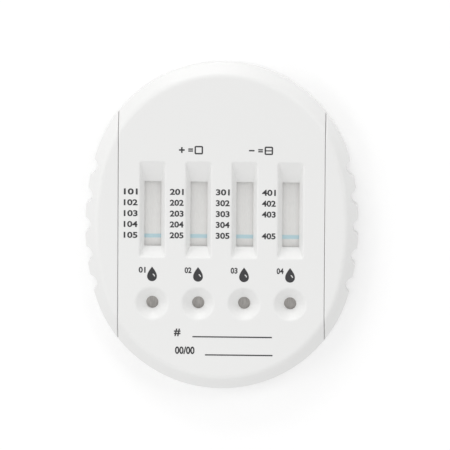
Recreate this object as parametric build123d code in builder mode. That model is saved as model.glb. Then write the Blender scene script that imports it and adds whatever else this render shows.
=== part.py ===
from build123d import *

import os
from math import atan2, degrees

# A lateral flow cassette with four test strips side by side.
# The back shell is a tray with a scalloped grip down each side.
# The front cover drops between the grips and holds the strips down.
# The origin is at the middle of the flat back, +Y runs from the wells to the windows.

# Test strip
lane_count = 4
lane_pitch = 12.0
strip_width = 5.0
strip_length = 60.0
strip_offset = 1.5
card_thickness = 0.3
membrane_thickness = 0.2
membrane_length = 25.0
conjugate_thickness = 0.5
conjugate_length = 6.5
sample_thickness = 1.0
sample_length = 17.0
absorbent_thickness = 1.1
sample_overlap = 2.0
conjugate_overlap = 1.5
absorbent_overlap = 2.0
pad_step = 0.6

# Oval outline: two round ends joined by two flatter side arcs
end_margin = 12.8
lane_margin = 8.9
wing_width = 8.6
side_bulge = 1.1

# Heights above the table
case_height = 8.0
panel_sink = 0.1
floor_thickness = 1.5
strip_rest_height = 1.7
rim_height = 2.1

# Walls and fits
cover_wall = 1.7
seam_gap = 0.1
fit_clearance = 0.1
tongue_thickness = 0.8
tongue_height = 1.2

# Bevel and rounded edges
bevel_width = 3.0
bevel_drop = 2.7
bevel_blend = 2.0
seam_round = 0.3
back_round = 1.0

# Scalloped grips
notch_count = 5
notch_pitch = 7.7
notch_radius = 2.2
notch_depth = 1.45
lobe_round = 0.7
grip_wall = 1.5
grip_skin = 1.8
pocket_length = 38.0
pocket_rib = 1.2

# Result windows
window_reveal = 0.3
window_length = 17.0
window_from_membrane_start = 3.0
window_slope_top = 5.6
window_slope_bottom = 2.7
window_slope_side = 1.1
window_lip = 0.5
window_gap_to_membrane = 0.6
window_frame_wall = 1.0
window_corner = 0.2
window_mouth_corner = 0.5
window_round = 0.6

# Sample wells
well_from_strip_end = 8.3
well_hole_radius = 1.6
well_rim_radius = 4.2
well_throat = 0.8
well_wall = 1.0
well_round = 1.0

# Strip channels, pressure bars and pins
channel_wall = 1.0
channel_clearance = 0.15
channel_drop = 0.2
rest_count = 7
rest_length = 1.6
bar_length = 1.0
bar_width = 4.4
pin_rows = 3
pin_row_pitch = 29.0
pin_radius = 1.0
pin_root_radius = 1.5
pin_tip = 0.4
socket_wall = 0.7
socket_height = 2.6

# Places that follow from the sizes above
panel_width = (lane_count - 1) * lane_pitch + 2 * lane_margin
bay_width = panel_width + 2 * seam_gap
half_width = bay_width / 2 + wing_width
half_length = strip_length / 2 + end_margin
end_radius = half_width - side_bulge
end_centre = half_length - end_radius
side_radius = (half_width**2 + end_centre**2 - end_radius**2) / (2 * side_bulge)
side_centre = side_radius - half_width
blend_angle = degrees(atan2(end_centre, side_centre))

panel_height = case_height - panel_sink
ceiling_height = panel_height - cover_wall
parting_height = floor_thickness + rim_height
tongue_top = parting_height + tongue_height
cavity_drop = ceiling_height - tongue_top - fit_clearance
cavity_bevel = cavity_drop * bevel_width / bevel_drop

card_bottom = floor_thickness + strip_rest_height
card_top = card_bottom + card_thickness
membrane_top = card_top + membrane_thickness
conjugate_top = card_top + conjugate_thickness
sample_top = card_top + sample_thickness

strip_bottom_end = strip_offset - strip_length / 2
strip_top_end = strip_offset + strip_length / 2
sample_end = strip_bottom_end + sample_length
conjugate_start = sample_end - sample_overlap
conjugate_end = conjugate_start + conjugate_length
membrane_start = conjugate_end - conjugate_overlap
membrane_end = membrane_start + membrane_length
absorbent_start = membrane_end - absorbent_overlap
well_y = strip_bottom_end + well_from_strip_end

window_width = strip_width - 2 * window_reveal
window_start = membrane_start + window_from_membrane_start
window_middle = window_start + window_length / 2
window_lip_bottom = membrane_top + window_gap_to_membrane
window_lip_top = window_lip_bottom + window_lip
throat_bottom = sample_top + fit_clearance
throat_top = throat_bottom + well_throat

grip_core_width = bay_width + 2 * grip_wall
channel_width = strip_width + 2 * channel_clearance
channel_length = strip_length + 2 * channel_clearance
channel_top = window_lip_bottom - channel_drop

lane_places = GridLocations(lane_pitch, 0, lane_count, 1).local_locations
lane_middles = [place.position.X for place in lane_places]


def oval(inset):
    """The outline of the cassette, moved inwards by the inset."""
    end_sweep = 180 - 2 * blend_angle
    side_sweep = 2 * blend_angle
    with BuildSketch() as section:
        with BuildLine():
            CenterArc((0, end_centre), end_radius - inset, blend_angle, end_sweep)
            CenterArc((0, -end_centre), end_radius - inset, 180 + blend_angle, end_sweep)
            CenterArc((-side_centre, 0), side_radius - inset, -blend_angle, side_sweep)
            CenterArc((side_centre, 0), side_radius - inset, 180 - blend_angle, side_sweep)
        make_face()
    return section.sketch


def scalloped_oval():
    """The outline with the finger notches cut into both sides and their corners rounded."""
    notch_angle = degrees(notch_pitch / side_radius)
    notch_sweep = notch_angle * (notch_count - 1)
    notch_ring = side_radius + notch_radius - notch_depth
    with BuildSketch() as section:
        add(oval(0))
        with Locations((-side_centre, 0)):
            with PolarLocations(notch_ring, notch_count, -notch_sweep / 2, notch_sweep, endpoint=True):
                Circle(notch_radius, mode=Mode.SUBTRACT)
        with Locations((side_centre, 0)):
            with PolarLocations(notch_ring, notch_count, 180 - notch_sweep / 2, notch_sweep, endpoint=True):
                Circle(notch_radius, mode=Mode.SUBTRACT)
        last_notch_y = notch_pitch * (notch_count - 1) / 2
        corners = section.vertices().filter_by(lambda point: abs(point.Y) < last_notch_y)
        fillet(corners, radius=lobe_round)
    return section.sketch


def middle_outline(width, inset):
    """The outline of the part between the seams, moved inwards by the inset."""
    with BuildSketch() as section:
        add(oval(inset))
        Rectangle(width - 2 * inset, 2 * half_length, mode=Mode.INTERSECT)
    return section.sketch


def bevelled_oval(height):
    """A block with the cassette's outline, bevelled round its face and rounded at its back."""
    with BuildPart() as block:
        with BuildSketch():
            add(oval(0))
        extrude(amount=height)
        face = block.faces().sort_by(Axis.Z)[-1]
        chamfer(face.edges(), length=bevel_width, length2=bevel_drop, reference=face)
        fillet(block.faces().sort_by(Axis.Z)[-1].edges(), radius=bevel_blend)
        fillet(block.faces().sort_by(Axis.Z)[0].edges(), radius=back_round)
    return block.part


def window_funnel(wall):
    """A funnel from the cover's face down to the window's lip, grown by the wall."""
    slope_middle = window_middle + (window_slope_top - window_slope_bottom) / 2
    mouth_width = window_width + 2 * (window_slope_side + wall)
    mouth_length = window_length + window_slope_top + window_slope_bottom + 2 * wall
    with BuildPart() as funnel:
        with BuildSketch(Plane.XY.offset(window_lip_top)):
            with Locations((0, window_middle)):
                RectangleRounded(window_width + 2 * wall, window_length + 2 * wall, window_corner)
        with BuildSketch(Plane.XY.offset(panel_height)):
            with Locations((0, slope_middle)):
                RectangleRounded(mouth_width, mouth_length, window_mouth_corner)
        loft()
        with BuildSketch(Plane.XY.offset(window_lip_bottom)):
            with Locations((0, window_middle)):
                RectangleRounded(window_width + 2 * wall, window_length + 2 * wall, window_corner)
        extrude(amount=window_lip)
    return funnel.part


def well_dish(wall):
    """A dish from the cover's face down to the throat, grown by the wall."""
    with BuildPart() as dish:
        with BuildSketch(Plane.XZ):
            with BuildLine():
                Polyline(
                    (0, throat_bottom),
                    (well_hole_radius + wall, throat_bottom),
                    (well_hole_radius + wall, throat_top),
                    (well_rim_radius + wall, panel_height),
                    (0, panel_height),
                    close=True,
                )
            make_face()
        revolve(axis=Axis.Z)
    return dish.part


def cover_cavity():
    """The hollow under the cover, bevelled like the face and leaving the windows' and wells' walls."""
    with BuildPart() as hollow:
        with BuildSketch(Plane.XY.offset(floor_thickness)):
            add(middle_outline(panel_width, cover_wall))
        extrude(amount=ceiling_height - floor_thickness)
        top = hollow.faces().sort_by(Axis.Z)[-1]
        chamfer(top.edges(), length=cavity_bevel, length2=cavity_drop, reference=top)
        with Locations(*lane_places):
            add(window_funnel(window_frame_wall), mode=Mode.SUBTRACT)
            with Locations((0, well_y)):
                add(well_dish(well_wall), mode=Mode.SUBTRACT)
    return hollow.part


os.makedirs("parts", exist_ok=True)

# Back shell: tray, side grips, strip channels and pin sockets
with BuildPart() as back_shell:
    add(bevelled_oval(case_height))

    # Bay for the cover, between the grips
    with BuildSketch(Plane.XY.offset(floor_thickness)):
        Rectangle(bay_width, 2 * half_length)
    extrude(amount=case_height, mode=Mode.SUBTRACT)
    seam_edges = back_shell.edges().filter_by(Axis.Y).group_by(Axis.Z)[-1]
    fillet(seam_edges, radius=seam_round)

    # Finger notches down both grips
    with BuildSketch():
        add(scalloped_oval())
    extrude(amount=case_height, mode=Mode.INTERSECT)

    # Rim that the cover sits on, and the tongue that guides it
    with BuildSketch(Plane.XY.offset(floor_thickness)):
        add(middle_outline(bay_width, 0))
        add(middle_outline(panel_width, cover_wall), mode=Mode.SUBTRACT)
    extrude(amount=rim_height)
    with BuildSketch(Plane.XY.offset(floor_thickness)):
        add(middle_outline(panel_width, cover_wall + fit_clearance))
        tongue_inset = cover_wall + fit_clearance + tongue_thickness
        add(middle_outline(panel_width, tongue_inset), mode=Mode.SUBTRACT)
    extrude(amount=tongue_top - floor_thickness)

    # Pockets that core out the grips from behind, with a rib behind each lobe gap
    with BuildSketch():
        add(oval(notch_depth + grip_wall))
        Rectangle(2 * half_width, pocket_length, mode=Mode.INTERSECT)
        Rectangle(grip_core_width, 2 * half_length, mode=Mode.SUBTRACT)
        with GridLocations(0, notch_pitch, 1, notch_count):
            Rectangle(2 * half_width, pocket_rib, mode=Mode.SUBTRACT)
    extrude(amount=case_height - grip_skin, mode=Mode.SUBTRACT)

    # A channel and cross rests for each strip
    with BuildSketch(Plane.XY.offset(floor_thickness)):
        with Locations((0, strip_offset)):
            with GridLocations(lane_pitch, 0, lane_count, 1):
                Rectangle(channel_width + 2 * channel_wall, channel_length + 2 * channel_wall)
                Rectangle(channel_width, channel_length, mode=Mode.SUBTRACT)
    extrude(amount=channel_top - floor_thickness)
    rest_pitch = (strip_length - rest_length) / (rest_count - 1)
    with BuildSketch(Plane.XY.offset(floor_thickness)):
        with Locations((0, strip_offset)):
            with GridLocations(lane_pitch, rest_pitch, lane_count, rest_count):
                Rectangle(channel_width, rest_length)
    extrude(amount=strip_rest_height)

    # Sockets for the cover's pins
    with BuildSketch(Plane.XY.offset(floor_thickness)):
        with GridLocations(lane_pitch, pin_row_pitch, lane_count - 1, pin_rows):
            Circle(pin_radius + fit_clearance + socket_wall)
    extrude(amount=socket_height)
    with BuildSketch(Plane.XY.offset(floor_thickness)):
        with GridLocations(lane_pitch, pin_row_pitch, lane_count - 1, pin_rows):
            Circle(pin_radius + fit_clearance)
    extrude(amount=socket_height, mode=Mode.SUBTRACT)

back_shell.part.label = "back_shell"
export_step(back_shell.part, "parts/back_shell.step")

# Front cover: bevelled panel with its windows and wells
with BuildPart() as front_cover:
    add(bevelled_oval(panel_height))
    with BuildSketch(Plane.XY.offset(parting_height)):
        add(middle_outline(panel_width, 0))
    extrude(amount=panel_height, mode=Mode.INTERSECT)

    # Openings with rounded rims
    with Locations(*lane_places):
        add(window_funnel(0), mode=Mode.SUBTRACT)
        with Locations((0, well_y)):
            add(well_dish(0), mode=Mode.SUBTRACT)
    face = front_cover.faces().filter_by(Axis.Z).sort_by(Axis.Z)[-1]
    well_mouths = face.inner_wires().filter_by(lambda wire: len(wire.edges()) == 1)
    fillet(well_mouths.edges(), radius=well_round)
    face = front_cover.faces().filter_by(Axis.Z).sort_by(Axis.Z)[-1]
    window_mouths = face.inner_wires().filter_by(lambda wire: len(wire.edges()) > 1)
    fillet(window_mouths.edges(), radius=window_round)

    # Rounded seam edges, then the hollow behind the face
    seam_edges = front_cover.edges().filter_by(Axis.Y).group_by(Axis.Z)[-1]
    fillet(seam_edges.sort_by(Axis.X)[0], radius=seam_round)
    seam_edges = front_cover.edges().filter_by(Axis.Y).group_by(Axis.Z)[-1]
    fillet(seam_edges.sort_by(Axis.X)[-1], radius=seam_round)
    add(cover_cavity(), mode=Mode.SUBTRACT)

    # Bars that press the strips' pads together
    bar_over_sample = conjugate_top + sample_thickness
    bar_over_wick = membrane_top + absorbent_thickness
    sample_bar_y = sample_end - sample_overlap / 2
    wick_bar_y = absorbent_start + absorbent_overlap / 2
    for bar_bottom, bar_y in ((bar_over_sample, sample_bar_y), (bar_over_wick, wick_bar_y)):
        with BuildSketch(Plane.XY.offset(bar_bottom)):
            with Locations((0, bar_y)):
                with GridLocations(lane_pitch, 0, lane_count, 1):
                    Rectangle(bar_width, bar_length)
        extrude(amount=ceiling_height - bar_bottom)

    # Pins with thicker roots that stop above the sockets
    pin_bottom = floor_thickness + fit_clearance
    root_bottom = floor_thickness + socket_height + fit_clearance
    with BuildSketch(Plane.XY.offset(pin_bottom)):
        with GridLocations(lane_pitch, pin_row_pitch, lane_count - 1, pin_rows):
            Circle(pin_radius)
    extrude(amount=ceiling_height - pin_bottom)
    chamfer(front_cover.faces().sort_by(Axis.Z)[0 : (lane_count - 1) * pin_rows].edges(), length=pin_tip)
    with BuildSketch(Plane.XY.offset(root_bottom)):
        with GridLocations(lane_pitch, pin_row_pitch, lane_count - 1, pin_rows):
            Circle(pin_root_radius)
    extrude(amount=ceiling_height - root_bottom)

front_cover.part.label = "front_cover"
export_step(front_cover.part, "parts/front_cover.step")

# Test strips: five layers each, the pads stepping over the layers below their ends
for lane, lane_middle in enumerate(lane_middles, start=1):
    strip_side = Plane.YZ.offset(lane_middle - strip_width / 2)

    with BuildPart() as backing_card:
        with BuildSketch(strip_side):
            with Locations((strip_bottom_end, card_bottom)):
                Rectangle(strip_length, card_thickness, align=(Align.MIN, Align.MIN))
        extrude(amount=strip_width)
    backing_card.part.label = f"strip_{lane}_backing_card"
    export_step(backing_card.part, f"parts/{backing_card.part.label}.step")

    with BuildPart() as membrane:
        with BuildSketch(strip_side):
            with Locations((membrane_start, card_top)):
                Rectangle(membrane_length, membrane_thickness, align=(Align.MIN, Align.MIN))
        extrude(amount=strip_width)
    membrane.part.label = f"strip_{lane}_membrane"
    export_step(membrane.part, f"parts/{membrane.part.label}.step")

    with BuildPart() as conjugate_pad:
        with BuildSketch(strip_side):
            with BuildLine():
                Polyline(
                    (conjugate_start, card_top),
                    (membrane_start, card_top),
                    (membrane_start, membrane_top),
                    (conjugate_end, membrane_top),
                    (conjugate_end, membrane_top + conjugate_thickness),
                    (membrane_start - pad_step, membrane_top + conjugate_thickness),
                    (membrane_start - 2 * pad_step, conjugate_top),
                    (conjugate_start, conjugate_top),
                    close=True,
                )
            make_face()
        extrude(amount=strip_width)
    conjugate_pad.part.label = f"strip_{lane}_conjugate_pad"
    export_step(conjugate_pad.part, f"parts/{conjugate_pad.part.label}.step")

    with BuildPart() as sample_pad:
        with BuildSketch(strip_side):
            with BuildLine():
                Polyline(
                    (strip_bottom_end, card_top),
                    (conjugate_start, card_top),
                    (conjugate_start, conjugate_top),
                    (sample_end, conjugate_top),
                    (sample_end, conjugate_top + sample_thickness),
                    (conjugate_start - pad_step, conjugate_top + sample_thickness),
                    (conjugate_start - 2 * pad_step, sample_top),
                    (strip_bottom_end, sample_top),
                    close=True,
                )
            make_face()
        extrude(amount=strip_width)
    sample_pad.part.label = f"strip_{lane}_sample_pad"
    export_step(sample_pad.part, f"parts/{sample_pad.part.label}.step")

    with BuildPart() as absorbent_pad:
        with BuildSketch(strip_side):
            with BuildLine():
                Polyline(
                    (absorbent_start, membrane_top),
                    (membrane_end, membrane_top),
                    (membrane_end, card_top),
                    (strip_top_end, card_top),
                    (strip_top_end, card_top + absorbent_thickness),
                    (membrane_end + 2 * pad_step, card_top + absorbent_thickness),
                    (membrane_end + pad_step, membrane_top + absorbent_thickness),
                    (absorbent_start, membrane_top + absorbent_thickness),
                    close=True,
                )
            make_face()
        extrude(amount=strip_width)
    absorbent_pad.part.label = f"strip_{lane}_absorbent_pad"
    export_step(absorbent_pad.part, f"parts/{absorbent_pad.part.label}.step")
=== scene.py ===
"""Dresses the lateral flow cassette: its print, its plastic and strips, and a soft white studio."""

import math

import bpy
from bpy.props import FloatProperty, FloatVectorProperty, IntProperty, PointerProperty
from mathutils import Matrix, Vector


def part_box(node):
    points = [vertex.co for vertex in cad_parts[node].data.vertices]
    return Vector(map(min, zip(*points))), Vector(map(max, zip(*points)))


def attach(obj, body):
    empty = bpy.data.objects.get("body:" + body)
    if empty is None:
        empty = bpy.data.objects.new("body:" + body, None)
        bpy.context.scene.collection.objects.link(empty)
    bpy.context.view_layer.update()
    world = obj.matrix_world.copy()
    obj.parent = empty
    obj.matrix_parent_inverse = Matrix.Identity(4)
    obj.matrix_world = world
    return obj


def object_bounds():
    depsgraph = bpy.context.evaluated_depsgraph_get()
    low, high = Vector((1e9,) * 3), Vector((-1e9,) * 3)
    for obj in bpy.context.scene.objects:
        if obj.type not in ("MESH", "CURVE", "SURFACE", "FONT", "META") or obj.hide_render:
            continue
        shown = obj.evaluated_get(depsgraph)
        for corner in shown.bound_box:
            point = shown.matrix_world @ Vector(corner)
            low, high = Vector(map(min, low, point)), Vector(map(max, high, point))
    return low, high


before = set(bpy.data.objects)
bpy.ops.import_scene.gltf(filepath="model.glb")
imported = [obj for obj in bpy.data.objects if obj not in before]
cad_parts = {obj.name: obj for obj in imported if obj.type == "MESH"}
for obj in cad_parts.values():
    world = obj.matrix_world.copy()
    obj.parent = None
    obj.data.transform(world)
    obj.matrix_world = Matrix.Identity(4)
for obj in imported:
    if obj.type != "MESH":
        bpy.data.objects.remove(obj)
cad_low, cad_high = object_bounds()
_, cover_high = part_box("front_cover")

bl_info = {
    "name": "Lateral Flow Cassette",
    "version": (1, 0, 0),
    "blender": (4, 5, 0),
    "location": "3D View > Sidebar > Cassette",
    "description": "Prints, finishes and lights a four-lane lateral flow cassette",
    "category": "Object",
}

MM = 0.001

# Vertices closer than this are one
MERGE = 0.002 * MM

# Finishes of the card and the pads that the cover hides; the darker gap colours are painted shade between
# the pads' fibres
CARD = (0.8, 0.8, 0.78)
CARD_SHADE = (0.77, 0.77, 0.75)
CONJUGATE = (0.6, 0.5, 0.48)
CONJUGATE_GAP_SHADE = (0.5, 0.4, 0.38)
WICK = (0.84, 0.84, 0.8)
WICK_GAP_SHADE = (0.7, 0.7, 0.67)

# Where the lamps stand, in metres from the cassette's middle, and their width and depth
KEY_PLACE = (-0.2, 0.95, 0.35)
KEY_SIZE = (0.7, 0.4)
SIDE_PLACE = (0.7, 0.5, 0.7)
SIDE_SIZE = (0.6, 0.6)
LEFT_PLACE = (-0.9, 0.1, 0.6)
LEFT_SIZE = (0.5, 0.7)
FRONT_PLACE = (-0.05, -0.26, 0.22)
FRONT_SIZE = (0.3, 0.12)
FRONT_TARGET = (0, -0.02, 0)
FLOOR_SIDE = 6.0


# Settings


class CassettePrintSettings(bpy.types.PropertyGroup):
    """Where the print lies on the cover's face, and how large it is."""

    lane_count: IntProperty(name="Lanes", description="Number of test strips side by side", default=4, min=1)
    lane_pitch: FloatProperty(
        name="Lane Pitch", description="Distance between neighbouring strips", default=12 * MM, unit="LENGTH"
    )
    ink_height: FloatProperty(
        name="Ink Height",
        description="Thickness of the ink above the face",
        default=0.03 * MM, unit="LENGTH",
    )
    ink_sink: FloatProperty(
        name="Ink Sink",
        description="How far the ink reaches into the face",
        default=0.01 * MM, unit="LENGTH",
    )
    ink_colour: FloatVectorProperty(
        name="Ink",
        description="Colour of the print",
        subtype="COLOR", default=(0.022, 0.022, 0.024), min=0, max=1,
    )
    row_count: IntProperty(name="Rows", description="Numbers beside each window", default=5, min=1)
    row_top: FloatProperty(
        name="First Row", description="Height on the face of the top number", default=9.1 * MM, unit="LENGTH"
    )
    row_pitch: FloatProperty(
        name="Row Pitch",
        description="Distance between neighbouring numbers",
        default=2.85 * MM, unit="LENGTH",
    )
    row_digits: FloatProperty(
        name="Row Digits",
        description="Height of the numbers beside the windows",
        default=1.6 * MM, unit="LENGTH",
    )
    row_width: FloatProperty(
        name="Row Width",
        description="Width of the numbers beside the windows",
        default=3.6 * MM, unit="LENGTH",
    )
    row_offset: FloatProperty(
        name="Row Offset",
        description="From a lane's middle to its numbers",
        default=-5.65 * MM, unit="LENGTH",
    )
    drop_middle: FloatProperty(
        name="Drop Middle", description="Height on the face of the drops' round part", default=-13.13 * MM,
        unit="LENGTH",
    )
    drop_radius: FloatProperty(
        name="Drop Radius", description="Radius of the drops' round part", default=1.27 * MM, unit="LENGTH"
    )
    drop_tip: FloatProperty(
        name="Drop Tip",
        description="From the round part's middle to the tip",
        default=2.55 * MM, unit="LENGTH",
    )
    count_digits: FloatProperty(
        name="Lane Digits",
        description="Height of the number beside each drop",
        default=1.55 * MM, unit="LENGTH",
    )
    legend_line: FloatProperty(
        name="Legend Line", description="Height on the face of the legend", default=20.1 * MM, unit="LENGTH"
    )
    legend_box: FloatProperty(
        name="Legend Box", description="Outer width of the legend's boxes", default=2.2 * MM, unit="LENGTH"
    )
    stroke: FloatProperty(
        name="Stroke", description="Width of drawn lines", default=0.36 * MM, unit="LENGTH"
    )
    field_digits: FloatProperty(
        name="Field Marks", description="Height of the marks before the writing lines", default=2.0 * MM,
        unit="LENGTH",
    )


class CassetteFinishSettings(bpy.types.PropertyGroup):
    """Colours and surfaces of the mouldings and the strips."""

    plastic: FloatVectorProperty(
        name="Plastic",
        description="Colour of the moulded plastic",
        subtype="COLOR", default=(0.86, 0.86, 0.852),
        min=0, max=1,
    )
    plastic_deep: FloatVectorProperty(
        name="Plastic Shade", description="Darker tone in the plastic's flow marks", subtype="COLOR",
        default=(0.845, 0.845, 0.838), min=0, max=1,
    )
    membrane: FloatVectorProperty(
        name="Membrane", description="Colour of the membrane", subtype="COLOR", default=(0.88, 0.875, 0.86),
        min=0, max=1,
    )
    control_line: FloatVectorProperty(
        name="Control Line",
        description="Colour of the control line",
        subtype="COLOR", default=(0.56, 0.76, 0.82),
        min=0, max=1,
    )
    line_place: FloatProperty(
        name="Line Place", description="Height of the control line along the strip", default=-2.94 * MM,
        unit="LENGTH",
    )
    line_width: FloatProperty(
        name="Line Width", description="Width of the control line", default=1.0 * MM, unit="LENGTH"
    )
    # The sample pad's mid grey is partly its own tone and partly painted shade of the deep well it lies in
    sample_pad: FloatVectorProperty(
        name="Sample Pad",
        description="Colour of the sample pad",
        subtype="COLOR", default=(0.5, 0.48, 0.46),
        min=0, max=1,
    )


class CassetteStudioSettings(bpy.types.PropertyGroup):
    """The camera, the lamps and the floor."""

    camera_tilt: FloatProperty(
        name="Camera Tilt", description="Lean of the view from straight above towards the windows' end",
        default=math.radians(7), subtype="ANGLE",
    )
    camera_turn: FloatProperty(
        name="Camera Turn",
        description="Lean of the view to the right",
        default=math.radians(2), subtype="ANGLE",
    )
    camera_roll: FloatProperty(
        name="Camera Roll", description="Turn of the camera about its own line of sight",
        default=math.radians(0.35), subtype="ANGLE",
    )
    camera_distance: FloatProperty(
        name="Camera Distance", description="From the face to the camera", default=2.0, unit="LENGTH"
    )
    view_width: FloatProperty(
        name="View Width", description="Width of the picture at the cassette's face", default=117.2 * MM,
        unit="LENGTH",
    )
    view_x: FloatProperty(
        name="View X", description="Middle of the picture across the face", default=0.96 * MM, unit="LENGTH"
    )
    view_y: FloatProperty(
        name="View Y", description="Middle of the picture along the face", default=0.55 * MM, unit="LENGTH"
    )
    key_power: FloatProperty(
        name="Key", description="Power of the low lamp beyond the windows, in watts", default=3.0
    )
    side_power: FloatProperty(
        name="Side", description="Power of the lamp at the upper right, in watts", default=1.45
    )
    left_power: FloatProperty(
        name="Left", description="Power of the lamp at the left, in watts", default=1.85
    )
    front_power: FloatProperty(
        name="Front", description="Power of the near lamp in front, in watts", default=0.14
    )
    sky_level: FloatProperty(name="Sky", description="Even light from all round", default=0.66)
    floor_colour: FloatVectorProperty(
        name="Floor",
        description="Colour of the floor",
        subtype="COLOR", default=(0.84, 0.84, 0.84), min=0, max=1,
    )
    floor_gap: FloatProperty(
        name="Floor Gap",
        description="From the cassette's back down to the floor",
        default=0.05 * MM, unit="LENGTH",
    )
    floor_lift: FloatProperty(
        name="Floor Lift", description="Brightness added to the floor where the camera sees it", default=0.22
    )


# Shader nodes


def put(tree, kind, x, y, **settings):
    """Adds a node at a place in a node tree."""
    node = tree.nodes.new(kind)
    node.location = (x, y)
    for name, value in settings.items():
        setattr(node, name, value)
    return node


def maths(tree, operation, x, y, first, second):
    """Adds a Math node whose inputs are sockets or numbers, and gives its result."""
    node = put(tree, "ShaderNodeMath", x, y, operation=operation)
    for socket, value in zip(node.inputs, (first, second)):
        if isinstance(value, bpy.types.NodeSocket):
            tree.links.new(value, socket)
        else:
            socket.default_value = value
    return node.outputs[0]


def new_group(name, inputs, outputs):
    """Starts a shader node group with named sockets, and gives its tree and its input and output nodes."""
    tree = bpy.data.node_groups.new(name, "ShaderNodeTree")
    for label, kind, default in inputs:
        socket = tree.interface.new_socket(label, in_out="INPUT", socket_type=kind)
        if default is not None:
            socket.default_value = default
    for label, kind in outputs:
        tree.interface.new_socket(label, in_out="OUTPUT", socket_type=kind)
    return tree, put(tree, "NodeGroupInput", -900, 0), put(tree, "NodeGroupOutput", 500, 0)


def moulded_grain():
    """Spark-eroded mould texture: a fine grain, slow flow marks in the tone and a slightly uneven gloss."""
    name = "Moulded Grain"
    if name in bpy.data.node_groups:
        return bpy.data.node_groups[name]
    tree, entry, leave = new_group(
        name,
        [
            ("Vector", "NodeSocketVector", None),
            ("Colour", "NodeSocketColor", (0.86, 0.86, 0.85, 1)),
            ("Shade", "NodeSocketColor", (0.84, 0.84, 0.83, 1)),
            ("Grain Scale", "NodeSocketFloat", 7000.0),
            ("Flow Scale", "NodeSocketFloat", 45.0),
            ("Gloss Low", "NodeSocketFloat", 0.34),
            ("Gloss High", "NodeSocketFloat", 0.46),
            ("Depth", "NodeSocketFloat", 0.00001),
        ],
        [("Colour", "NodeSocketColor"), ("Roughness", "NodeSocketFloat"), ("Normal", "NodeSocketVector")],
    )
    grain = put(tree, "ShaderNodeTexNoise", -600, 200)
    grain.inputs["Detail"].default_value = 3
    flow = put(tree, "ShaderNodeTexNoise", -600, -150)
    flow.inputs["Detail"].default_value = 4
    flow.inputs["Distortion"].default_value = 0.6
    tree.links.new(entry.outputs["Vector"], grain.inputs["Vector"])
    tree.links.new(entry.outputs["Grain Scale"], grain.inputs["Scale"])
    tree.links.new(entry.outputs["Vector"], flow.inputs["Vector"])
    tree.links.new(entry.outputs["Flow Scale"], flow.inputs["Scale"])
    blend = put(tree, "ShaderNodeMix", -300, -150, data_type="RGBA")
    tree.links.new(flow.outputs["Fac"], blend.inputs["Factor"])
    tree.links.new(entry.outputs["Colour"], blend.inputs[6])
    tree.links.new(entry.outputs["Shade"], blend.inputs[7])
    gloss = put(tree, "ShaderNodeMapRange", -300, -400)
    both = maths(tree, "MULTIPLY_ADD", -450, -400, grain.outputs["Fac"], 0.5)
    tree.links.new(maths(tree, "MULTIPLY", -600, -500, flow.outputs["Fac"], 0.5), both.node.inputs[2])
    tree.links.new(both, gloss.inputs["Value"])
    tree.links.new(entry.outputs["Gloss Low"], gloss.inputs["To Min"])
    tree.links.new(entry.outputs["Gloss High"], gloss.inputs["To Max"])
    bump = put(tree, "ShaderNodeBump", 0, 200)
    bump.inputs["Strength"].default_value = 0.5
    tree.links.new(entry.outputs["Depth"], bump.inputs["Distance"])
    tree.links.new(grain.outputs["Fac"], bump.inputs["Height"])
    tree.links.new(blend.outputs[2], leave.inputs["Colour"])
    tree.links.new(gloss.outputs["Result"], leave.inputs["Roughness"])
    tree.links.new(bump.outputs["Normal"], leave.inputs["Normal"])
    return tree


def fibre_felt():
    """Pressed fibre: short crossed strands, with painted shade darkening the gaps between them."""
    name = "Fibre Felt"
    if name in bpy.data.node_groups:
        return bpy.data.node_groups[name]
    tree, entry, leave = new_group(
        name,
        [
            ("Vector", "NodeSocketVector", None),
            ("Colour", "NodeSocketColor", (0.8, 0.8, 0.78, 1)),
            # Gap: the colour of the painted shade between the strands
            ("Gap", "NodeSocketColor", (0.6, 0.6, 0.58, 1)),
            ("Scale", "NodeSocketFloat", 3000.0),
            ("Depth", "NodeSocketFloat", 0.00005),
        ],
        [("Colour", "NodeSocketColor"), ("Normal", "NodeSocketVector")],
    )
    lines = []
    for turn, y in ((0.5, 250), (-0.9, -50)):
        lie = put(tree, "ShaderNodeMapping", -700, y)
        lie.inputs["Rotation"].default_value = (0, 0, turn)
        lie.inputs["Scale"].default_value = (1, 0.16, 1)
        strand = put(tree, "ShaderNodeTexNoise", -500, y)
        strand.inputs["Detail"].default_value = 4
        tree.links.new(entry.outputs["Vector"], lie.inputs["Vector"])
        tree.links.new(lie.outputs["Vector"], strand.inputs["Vector"])
        tree.links.new(entry.outputs["Scale"], strand.inputs["Scale"])
        lines.append(strand.outputs["Fac"])
    height = maths(tree, "MAXIMUM", -250, 100, lines[0], lines[1])
    spread = put(tree, "ShaderNodeMapRange", -100, 0)
    spread.inputs["From Min"].default_value = 0.4
    spread.inputs["From Max"].default_value = 0.65
    tree.links.new(height, spread.inputs["Value"])
    # The low ground between strands takes the Gap colour: painted shade in the felt's hollows
    blend = put(tree, "ShaderNodeMix", 100, -100, data_type="RGBA")
    tree.links.new(spread.outputs["Result"], blend.inputs["Factor"])
    tree.links.new(entry.outputs["Gap"], blend.inputs[6])
    tree.links.new(entry.outputs["Colour"], blend.inputs[7])
    bump = put(tree, "ShaderNodeBump", 100, 200)
    bump.inputs["Strength"].default_value = 0.8
    tree.links.new(entry.outputs["Depth"], bump.inputs["Distance"])
    tree.links.new(height, bump.inputs["Height"])
    tree.links.new(blend.outputs[2], leave.inputs["Colour"])
    tree.links.new(bump.outputs["Normal"], leave.inputs["Normal"])
    return tree


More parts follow.
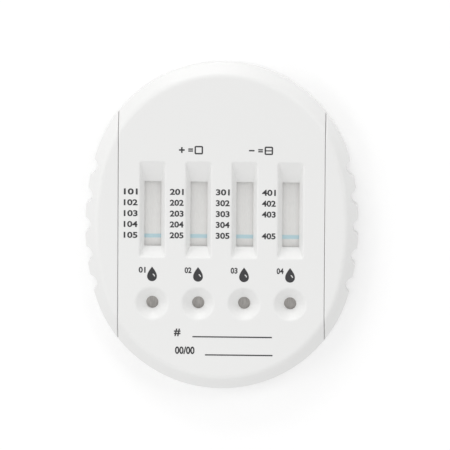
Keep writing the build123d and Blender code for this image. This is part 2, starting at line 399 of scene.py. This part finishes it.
def start_material(name, group, values):
    """A material with one effect group, fed by Object coordinates, and its Principled BSDF."""
    material = bpy.data.materials.new(name)
    material.use_nodes = True
    tree = material.node_tree
    tree.nodes.clear()
    place = put(tree, "ShaderNodeTexCoord", -700, 0)
    effect = put(tree, "ShaderNodeGroup", -400, 0, node_tree=group)
    tree.links.new(place.outputs["Object"], effect.inputs["Vector"])
    for label, value in values.items():
        effect.inputs[label].default_value = value
    surface = put(tree, "ShaderNodeBsdfPrincipled", 200, 0)
    output = put(tree, "ShaderNodeOutputMaterial", 500, 0)
    tree.links.new(surface.outputs["BSDF"], output.inputs["Surface"])
    tree.links.new(effect.outputs["Normal"], surface.inputs["Normal"])
    return material, tree, place, effect, surface


def plastic_material(name, colour, shade, gloss_low, gloss_high, grain):
    """Moulded plastic with a satin grain."""
    material, tree, _, effect, surface = start_material(
        name,
        moulded_grain(),
        {
            "Colour": (*colour, 1),
            "Shade": (*shade, 1),
            "Gloss Low": gloss_low,
            "Gloss High": gloss_high,
            "Grain Scale": grain,
        },
    )
    surface.inputs["IOR"].default_value = 1.49
    tree.links.new(effect.outputs["Colour"], surface.inputs["Base Color"])
    tree.links.new(effect.outputs["Roughness"], surface.inputs["Roughness"])
    return material


def fibre_material(name, colour, painted_gap_shade, scale, depth):
    """A pad of pressed fibre; its second colour is the painted shade between the fibres."""
    material, tree, _, effect, surface = start_material(
        name, fibre_felt(), {"Colour": (*colour, 1), "Gap": (*painted_gap_shade, 1), "Scale": scale, "Depth": depth}
    )
    surface.inputs["Roughness"].default_value = 0.9
    surface.inputs["IOR"].default_value = 1.4
    tree.links.new(effect.outputs["Colour"], surface.inputs["Base Color"])
    return material


def membrane_material(settings):
    """The matt membrane with its soft-edged control line across the strip."""
    colour = tuple(settings.membrane)
    # A slightly darker colour for the gaps between the membrane's fibres: painted shade
    painted_gap_shade = tuple(value * 0.95 for value in colour)
    wander_size = 0.12 * MM
    fade_outer = settings.line_width * 0.66
    fade_inner = settings.line_width * 0.34
    material, tree, place, effect, surface = start_material(
        "Membrane", fibre_felt(),
        {"Colour": (*colour, 1), "Gap": (*painted_gap_shade, 1), "Scale": 5000.0, "Depth": 0.00001},
    )
    split = put(tree, "ShaderNodeSeparateXYZ", -600, -350)
    tree.links.new(place.outputs["Object"], split.inputs["Vector"])
    ripple = put(tree, "ShaderNodeTexNoise", -600, -550)
    ripple.inputs["Scale"].default_value = 900
    tree.links.new(place.outputs["Object"], ripple.inputs["Vector"])
    wander = maths(tree, "MULTIPLY", -400, -550, ripple.outputs["Fac"], wander_size)
    along = maths(tree, "ADD", -400, -350, split.outputs["Y"], wander)
    away = maths(tree, "SUBTRACT", -250, -350, along, settings.line_place + wander_size / 2)
    away = maths(tree, "ABSOLUTE", -150, -350, away, 0.0)
    mask = put(tree, "ShaderNodeMapRange", 0, -350, interpolation_type="SMOOTHSTEP")
    mask.inputs["From Min"].default_value = fade_outer
    mask.inputs["From Max"].default_value = fade_inner
    tree.links.new(away, mask.inputs["Value"])
    dye = put(tree, "ShaderNodeMix", 100, -150, data_type="RGBA")
    tree.links.new(mask.outputs["Result"], dye.inputs["Factor"])
    tree.links.new(effect.outputs["Colour"], dye.inputs[6])
    dye.inputs[7].default_value = (*settings.control_line, 1)
    surface.inputs["Roughness"].default_value = 0.8
    surface.inputs["IOR"].default_value = 1.4
    tree.links.new(dye.outputs[2], surface.inputs["Base Color"])
    return material


def ink_material(settings):
    """Dull printing ink, built once and shared by every printed piece."""
    name = "Printing Ink"
    if name in bpy.data.materials:
        return bpy.data.materials[name]
    colour = tuple(settings.ink_colour)
    return plastic_material(name, colour, tuple(value * 1.5 for value in colour), 0.5, 0.65, 12000.0)


def paint(node, material):
    """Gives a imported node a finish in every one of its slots."""
    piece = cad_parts[node]
    for place in piece.material_slots:
        place.material = material
    if not piece.material_slots:
        piece.data.materials.append(material)


# Print


def deselect_all():
    """Deselects everything, so that the next operator acts on its own piece alone."""
    bpy.ops.object.select_all(action="DESELECT")


def select_only(piece):
    """Selects one object and makes it active."""
    deselect_all()
    piece.select_set(True)
    bpy.context.view_layer.objects.active = piece


def pick(piece, wanted):
    """Selects only the vertices whose place is wanted, ready for edit mode."""
    for part in (*piece.data.polygons, *piece.data.edges):
        part.select = False
    for vertex in piece.data.vertices:
        vertex.select = wanted(vertex.co)


def thicken(piece, settings):
    """Extrudes a flat outline into a layer of ink that stands on the face and reaches a little into it."""
    select_only(piece)
    bpy.ops.object.mode_set(mode="EDIT")
    bpy.ops.mesh.select_all(action="SELECT")
    bpy.ops.mesh.remove_doubles(threshold=MERGE)
    bpy.ops.mesh.extrude_region_move(
        TRANSFORM_OT_translate={"value": (0, 0, settings.ink_height + settings.ink_sink)}
    )
    bpy.ops.mesh.select_all(action="SELECT")
    bpy.ops.mesh.normals_make_consistent(inside=False)
    bpy.ops.object.mode_set(mode="OBJECT")


def settle(piece, name, settings):
    """Puts a printed piece's origin at the frame's, gives it ink and lets it ride the cassette."""
    select_only(piece)
    bpy.ops.object.transform_apply(location=True, rotation=True, scale=True)
    piece.name = name
    piece.data.name = name
    piece.data.materials.clear()
    piece.data.materials.append(ink_material(settings))
    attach(piece, "root")
    return piece


def join(pieces):
    """Joins several objects into the first."""
    deselect_all()
    for piece in pieces:
        piece.select_set(True)
    bpy.context.view_layer.objects.active = pieces[0]
    bpy.ops.object.join()
    return pieces[0]


def digits(words, x, y, height, width, settings, weight=0.03):
    """Numbers or signs set in ink, centred at a place on the face, with their height and their width."""
    deselect_all()
    bpy.ops.object.text_add(location=(0, 0, 0))
    text = bpy.context.object
    text.data.body = words
    text.data.offset = weight
    text.data.extrude = 0.5
    text.data.resolution_u = 4
    bpy.ops.object.convert(target="MESH")
    piece = bpy.context.object
    corners = [vertex.co for vertex in piece.data.vertices]
    low = Vector(map(min, zip(*corners)))
    high = Vector(map(max, zip(*corners)))
    tall = height / (high.y - low.y)
    wide = width / (high.x - low.x) if width else tall
    thick = settings.ink_height + settings.ink_sink
    piece.scale = (wide, tall, thick)
    piece.location = (
        x - wide * (low.x + high.x) / 2,
        y - tall * (low.y + high.y) / 2,
        cover_high.z - settings.ink_sink + thick / 2,
    )
    select_only(piece)
    bpy.ops.object.transform_apply(location=True, rotation=True, scale=True)
    return piece


def bar(x, y, length, width, settings):
    """A drawn line with rounded ends, lying along X."""
    deselect_all()
    bpy.ops.mesh.primitive_plane_add(size=1, location=(x, y, cover_high.z - settings.ink_sink))
    piece = bpy.context.object
    piece.scale = (length, width, 1)
    bpy.ops.object.transform_apply(location=False, rotation=False, scale=True)
    bpy.ops.object.mode_set(mode="EDIT")
    bpy.ops.mesh.select_all(action="SELECT")
    bpy.ops.mesh.bevel(offset=width * 0.45, segments=3, affect="VERTICES")
    bpy.ops.object.mode_set(mode="OBJECT")
    thicken(piece, settings)
    return piece


def frame_box(x, y, side, stroke, settings):
    """A square frame with rounded corners."""
    deselect_all()
    bpy.ops.mesh.primitive_plane_add(size=side, location=(x, y, cover_high.z - settings.ink_sink))
    piece = bpy.context.object
    bpy.ops.object.mode_set(mode="EDIT")
    bpy.ops.mesh.select_all(action="SELECT")
    bpy.ops.mesh.bevel(offset=stroke, segments=4, affect="VERTICES")
    bpy.ops.mesh.inset(thickness=stroke)
    bpy.ops.mesh.delete(type="FACE")
    bpy.ops.object.mode_set(mode="OBJECT")
    thicken(piece, settings)
    return piece


def drop(x, settings):
    """A liquid drop: a disc drawn out to a tip, with a short arc of bare plastic at its right."""
    deselect_all()
    level = cover_high.z - settings.ink_sink
    reach = settings.drop_radius * 1.6
    bpy.ops.mesh.primitive_circle_add(
        vertices=48, radius=settings.drop_radius, fill_type="NGON", location=(x, settings.drop_middle, level)
    )
    piece = bpy.context.object
    top = max(vertex.co.y for vertex in piece.data.vertices)
    pick(piece, lambda place: place.y > top - MERGE / 2)
    bpy.ops.object.mode_set(mode="EDIT")
    bpy.ops.transform.translate(
        value=(0, settings.drop_tip - settings.drop_radius, 0),
        use_proportional_edit=True,
        proportional_edit_falloff="SHARP",
        proportional_size=reach,
    )
    bpy.ops.object.mode_set(mode="OBJECT")
    thicken(piece, settings)

    deselect_all()
    glint_inner = settings.drop_radius * 0.5
    glint_width = settings.drop_radius * 0.2
    glint_sweep = math.radians(-75)
    bpy.ops.mesh.primitive_plane_add(size=1, location=(x, settings.drop_middle, level - settings.ink_height))
    glint = bpy.context.object
    glint.scale = (glint_width, 10 * MERGE, 1)
    bpy.ops.object.transform_apply(location=True, rotation=False, scale=True)
    pick(glint, lambda place: place.y > settings.drop_middle)
    bpy.ops.object.mode_set(mode="EDIT")
    bpy.ops.mesh.delete(type="VERT")
    bpy.ops.mesh.select_all(action="SELECT")
    bpy.ops.transform.translate(value=(glint_inner, 0, 0))
    bpy.ops.mesh.spin(
        steps=10, angle=glint_sweep, center=(x, settings.drop_middle, level), axis=(0, 0, 1)
    )
    bpy.ops.mesh.select_all(action="SELECT")
    bpy.ops.mesh.remove_doubles(threshold=MERGE / 2)
    bpy.ops.mesh.extrude_region_move(TRANSFORM_OT_translate={"value": (0, 0, 4 * settings.ink_height)})
    bpy.ops.mesh.select_all(action="SELECT")
    bpy.ops.mesh.normals_make_consistent(inside=False)
    bpy.ops.object.mode_set(mode="OBJECT")

    select_only(piece)
    cut = piece.modifiers.new("Crescent", "BOOLEAN")
    cut.operation = "DIFFERENCE"
    cut.object = glint
    bpy.ops.object.modifier_apply(modifier=cut.name)
    bpy.data.objects.remove(glint)
    return piece


def lanes(settings):
    """Each lane's number and its middle, from left to right."""
    middle = (settings.lane_count - 1) / 2
    return [(lane + 1, (lane - middle) * settings.lane_pitch) for lane in range(settings.lane_count)]


class CASSETTE_OT_row_numbers(bpy.types.Operator):
    """Prints a column of plain numbers beside each window"""

    bl_idname = "cassette.row_numbers"
    bl_label = "Print Row Numbers"
    # In the last lane the last row but one is bare
    bare_row_from_end = 2

    def execute(self, context):
        settings = context.scene.cassette_print
        for lane, x in lanes(settings):
            numbers = []
            for row in range(settings.row_count):
                if lane == settings.lane_count and row == settings.row_count - self.bare_row_from_end:
                    continue
                left = x + settings.row_offset
                y = settings.row_top - row * settings.row_pitch
                words = str(100 * lane + row + 1)
                numbers.append(digits(words, left, y, settings.row_digits, settings.row_width, settings))
            settle(join(numbers), f"row_numbers_{lane}", settings)
        return {"FINISHED"}


class CASSETTE_OT_drop_marks(bpy.types.Operator):
    """Prints a drop over each sample well, with the lane's number beside it"""

    bl_idname = "cassette.drop_marks"
    bl_label = "Print Drops"
    number_left = 2.6 * MM
    number_up = 1.7 * MM
    number_width = 1.8 * MM

    def execute(self, context):
        settings = context.scene.cassette_print
        for lane, x in lanes(settings):
            settle(drop(x, settings), f"drop_{lane}", settings)
            y = settings.drop_middle + self.number_up
            left = x - self.number_left
            number = digits(f"{lane:02d}", left, y, settings.count_digits, self.number_width, settings)
            settle(number, f"lane_number_{lane}", settings)
        return {"FINISHED"}


class CASSETTE_OT_legend(bpy.types.Operator):
    """Prints the legend above the windows: a plain box and a box with a line"""

    bl_idname = "cassette.legend"
    bl_label = "Print Legend"
    plus_sign_x = -10.4 * MM
    plus_equals_x = -8.1 * MM
    plus_box_x = -5.98 * MM
    minus_sign_x = 7.8 * MM
    minus_equals_x = 10.1 * MM
    minus_box_x = 12.25 * MM
    sign_size = 1.5 * MM
    sign_weight = 0.03
    equals_height = 0.85 * MM
    equals_width = 1.2 * MM
    line_share = 0.8

    def execute(self, context):
        settings = context.scene.cassette_print
        y = settings.legend_line
        side = settings.legend_box
        stroke = settings.stroke
        plus = [
            frame_box(self.plus_box_x, y, side, stroke, settings),
            digits("+", self.plus_sign_x, y, self.sign_size, None, settings, self.sign_weight),
            digits("=", self.plus_equals_x, y, self.equals_height, self.equals_width, settings),
        ]
        settle(join(plus), "legend_plus", settings)
        minus = [
            frame_box(self.minus_box_x, y, side, stroke, settings),
            bar(self.minus_box_x, y, side - stroke, stroke * self.line_share, settings),
            bar(self.minus_sign_x, y, self.sign_size, stroke, settings),
            digits("=", self.minus_equals_x, y, self.equals_height, self.equals_width, settings),
        ]
        settle(join(minus), "legend_minus", settings)
        return {"FINISHED"}


class CASSETTE_OT_writing_lines(bpy.types.Operator):
    """Prints the two lines at the foot to write on, each with a plain mark before it"""

    bl_idname = "cassette.writing_lines"
    bl_label = "Print Writing Lines"
    line_share = 0.9
    first_line_x = 3.0 * MM
    first_line_y = -28.9 * MM
    first_line_length = 20.8 * MM
    first_mark_x = -11.35 * MM
    first_mark_y = -27.8 * MM
    second_line_x = 4.75 * MM
    second_line_y = -33.65 * MM
    second_line_length = 17.7 * MM
    second_mark_x = -9.35 * MM
    second_mark_y = -32.5 * MM
    second_mark_width = 5.1 * MM

    def execute(self, context):
        settings = context.scene.cassette_print
        width = settings.stroke * self.line_share
        tall = settings.field_digits
        first = [
            bar(self.first_line_x, self.first_line_y, self.first_line_length, width, settings),
            digits("#", self.first_mark_x, self.first_mark_y, tall, None, settings),
        ]
        settle(join(first), "writing_line_1", settings)
        second = [
            bar(self.second_line_x, self.second_line_y, self.second_line_length, width, settings),
            digits("00/00", self.second_mark_x, self.second_mark_y, tall, self.second_mark_width, settings),
        ]
        settle(join(second), "writing_line_2", settings)
        return {"FINISHED"}


class CASSETTE_OT_moulding_finish(bpy.types.Operator):
    """Gives the cover and the shell their satin white plastic"""

    bl_idname = "cassette.moulding_finish"
    bl_label = "Finish Mouldings"

    def execute(self, context):
        settings = context.scene.cassette_finish
        colour = tuple(settings.plastic)
        shade = tuple(settings.plastic_deep)
        paint("front_cover", plastic_material("Cover Plastic", colour, shade, 0.34, 0.46, 7000.0))
        paint("back_shell", plastic_material("Shell Plastic", colour, shade, 0.36, 0.5, 6000.0))
        return {"FINISHED"}


class CASSETTE_OT_strip_finish(bpy.types.Operator):
    """Gives the strips' card, pads and membranes their finishes"""

    bl_idname = "cassette.strip_finish"
    bl_label = "Finish Strips"

    def execute(self, context):
        settings = context.scene.cassette_finish
        # The sample pad's grey carries painted shade of its well as well as the pad's own tone
        pad = tuple(settings.sample_pad)
        # The fibre pads' second, darker colour is painted shade between their fibres
        finishes = {
            "backing_card": plastic_material("Backing Card", CARD, CARD_SHADE, 0.5, 0.6, 3000.0),
            "sample_pad": fibre_material("Sample Pad", pad, tuple(0.7 * v for v in pad), 3200.0, 0.00004),
            "conjugate_pad": fibre_material("Conjugate Pad", CONJUGATE, CONJUGATE_GAP_SHADE, 3600.0, 0.00003),
            "membrane": membrane_material(settings),
            "absorbent_pad": fibre_material("Absorbent Pad", WICK, WICK_GAP_SHADE, 2400.0, 0.00006),
        }
        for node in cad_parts:
            for piece, material in finishes.items():
                if node.startswith("strip_") and node.endswith(piece):
                    paint(node, material)
        return {"FINISHED"}


# Studio


def lamp(name, place, target, size, power):
    """A soft rectangular lamp that shines at a point."""
    deselect_all()
    bpy.ops.object.light_add(type="AREA", location=place)
    light = bpy.context.object
    light.name = name
    light.rotation_euler = (target - Vector(place)).to_track_quat("-Z", "Y").to_euler()
    light.data.shape = "RECTANGLE"
    light.data.size, light.data.size_y = size
    light.data.energy = power


def seen_rays(tree, x, y):
    """A mask of the rays that show the background: those from the camera, and through gloss and glass."""
    path = put(tree, "ShaderNodeLightPath", x - 200, y)
    first = maths(tree, "MAXIMUM", x, y, path.outputs["Is Camera Ray"], path.outputs["Is Glossy Ray"])
    return maths(tree, "MAXIMUM", x + 150, y, first, path.outputs["Is Transmission Ray"])


class CASSETTE_OT_studio(bpy.types.Operator):
    """Builds the floor, the lamps, the white surroundings and the camera"""

    bl_idname = "cassette.studio"
    bl_label = "Build Studio"

    def execute(self, context):
        settings = context.scene.cassette_studio
        scene = context.scene
        scene.view_settings.view_transform = "Standard"
        target = Vector((settings.view_x, settings.view_y, cover_high.z))

        deselect_all()
        bpy.ops.mesh.primitive_plane_add(size=FLOOR_SIDE, location=(0, 0, cad_low.z - settings.floor_gap))
        floor = context.object
        floor.name = "floor"
        floor.data.materials.append(self.floor_material(settings))

        lamp("key_lamp", KEY_PLACE, target, KEY_SIZE, settings.key_power)
        lamp("side_lamp", SIDE_PLACE, target, SIDE_SIZE, settings.side_power)
        lamp("left_lamp", LEFT_PLACE, target, LEFT_SIZE, settings.left_power)
        lamp("front_lamp", FRONT_PLACE, Vector(FRONT_TARGET), FRONT_SIZE, settings.front_power)
        self.surroundings(scene, settings)

        back = Vector(
            (
                math.sin(settings.camera_turn),
                math.sin(settings.camera_tilt) * math.cos(settings.camera_turn),
                math.cos(settings.camera_tilt) * math.cos(settings.camera_turn),
            )
        )
        right = Vector((0, 1, 0)).cross(back).normalized()
        up = back.cross(right)
        turned = Matrix((right, up, back)).transposed().to_4x4()
        deselect_all()
        bpy.ops.object.camera_add()
        camera = context.object
        camera.name = "camera"
        camera.data.sensor_width = 36
        camera.data.lens = camera.data.sensor_width * settings.camera_distance / settings.view_width
        camera.data.clip_start = 0.05
        camera.data.clip_end = 20
        camera.matrix_world = (
            Matrix.Translation(target + back * settings.camera_distance)
            @ turned
            @ Matrix.Rotation(settings.camera_roll, 4, "Z")
        )
        scene.camera = camera
        return {"FINISHED"}

    def floor_material(self, settings):
        """Matt white board that the camera sees as white and that still takes the shadow."""
        material = bpy.data.materials.new("Studio Floor")
        material.use_nodes = True
        tree = material.node_tree
        surface = tree.nodes["Principled BSDF"]
        surface.inputs["Base Color"].default_value = (*settings.floor_colour, 1)
        surface.inputs["Roughness"].default_value = 0.9
        surface.inputs["Specular IOR Level"].default_value = 0.2
        surface.inputs["Emission Color"].default_value = (1, 1, 1, 1)
        lift = maths(tree, "MULTIPLY", -200, -200, seen_rays(tree, -500, -200), settings.floor_lift)
        tree.links.new(lift, surface.inputs["Emission Strength"])
        return material

    def surroundings(self, scene, settings):
        """Even white light from all round, seen as plain white behind the floor's edge."""
        world = bpy.data.worlds.new("Studio")
        scene.world = world
        world.use_nodes = True
        tree = world.node_tree
        background = tree.nodes["Background"]
        background.inputs["Color"].default_value = (1, 1, 1, 1)
        level = put(tree, "ShaderNodeMapRange", -200, 0)
        level.inputs["To Min"].default_value = settings.sky_level
        level.inputs["To Max"].default_value = 1.0
        tree.links.new(seen_rays(tree, -500, 0), level.inputs["Value"])
        tree.links.new(level.outputs["Result"], background.inputs["Strength"])


class CASSETTE_PT_panel(bpy.types.Panel):
    """Lists the steps that dress the cassette, with their settings"""

    bl_idname = "CASSETTE_PT_panel"
    bl_label = "Lateral Flow Cassette"
    bl_space_type = "VIEW_3D"
    bl_region_type = "UI"
    bl_category = "Cassette"

    def draw(self, context):
        scene = context.scene
        for title, group, steps in STEPS:
            box = self.layout.box()
            box.label(text=title)
            for step in steps:
                box.operator(step.bl_idname)
            settings = getattr(scene, group)
            for name in settings.__annotations__:
                box.prop(settings, name)


STEPS = (
    (
        "Print",
        "cassette_print",
        (CASSETTE_OT_row_numbers, CASSETTE_OT_drop_marks, CASSETTE_OT_legend, CASSETTE_OT_writing_lines),
    ),
    ("Finishes", "cassette_finish", (CASSETTE_OT_moulding_finish, CASSETTE_OT_strip_finish)),
    ("Studio", "cassette_studio", (CASSETTE_OT_studio,)),
)

CLASSES = (
    CassettePrintSettings,
    CassetteFinishSettings,
    CassetteStudioSettings,
    CASSETTE_OT_row_numbers,
    CASSETTE_OT_drop_marks,
    CASSETTE_OT_legend,
    CASSETTE_OT_writing_lines,
    CASSETTE_OT_moulding_finish,
    CASSETTE_OT_strip_finish,
    CASSETTE_OT_studio,
    CASSETTE_PT_panel,
)


def register():
    for entry in CLASSES:
        bpy.utils.register_class(entry)
    bpy.types.Scene.cassette_print = PointerProperty(type=CassettePrintSettings)
    bpy.types.Scene.cassette_finish = PointerProperty(type=CassetteFinishSettings)
    bpy.types.Scene.cassette_studio = PointerProperty(type=CassetteStudioSettings)


def unregister():
    del bpy.types.Scene.cassette_studio
    del bpy.types.Scene.cassette_finish
    del bpy.types.Scene.cassette_print
    for entry in reversed(CLASSES):
        bpy.utils.unregister_class(entry)


def main():
    """Registers the add-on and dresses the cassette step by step."""
    register()
    bpy.ops.cassette.row_numbers()
    bpy.ops.cassette.drop_marks()
    bpy.ops.cassette.legend()
    bpy.ops.cassette.writing_lines()
    bpy.ops.cassette.moulding_finish()
    bpy.ops.cassette.strip_finish()
    bpy.ops.cassette.studio()


if __name__ == "__main__":
    main()
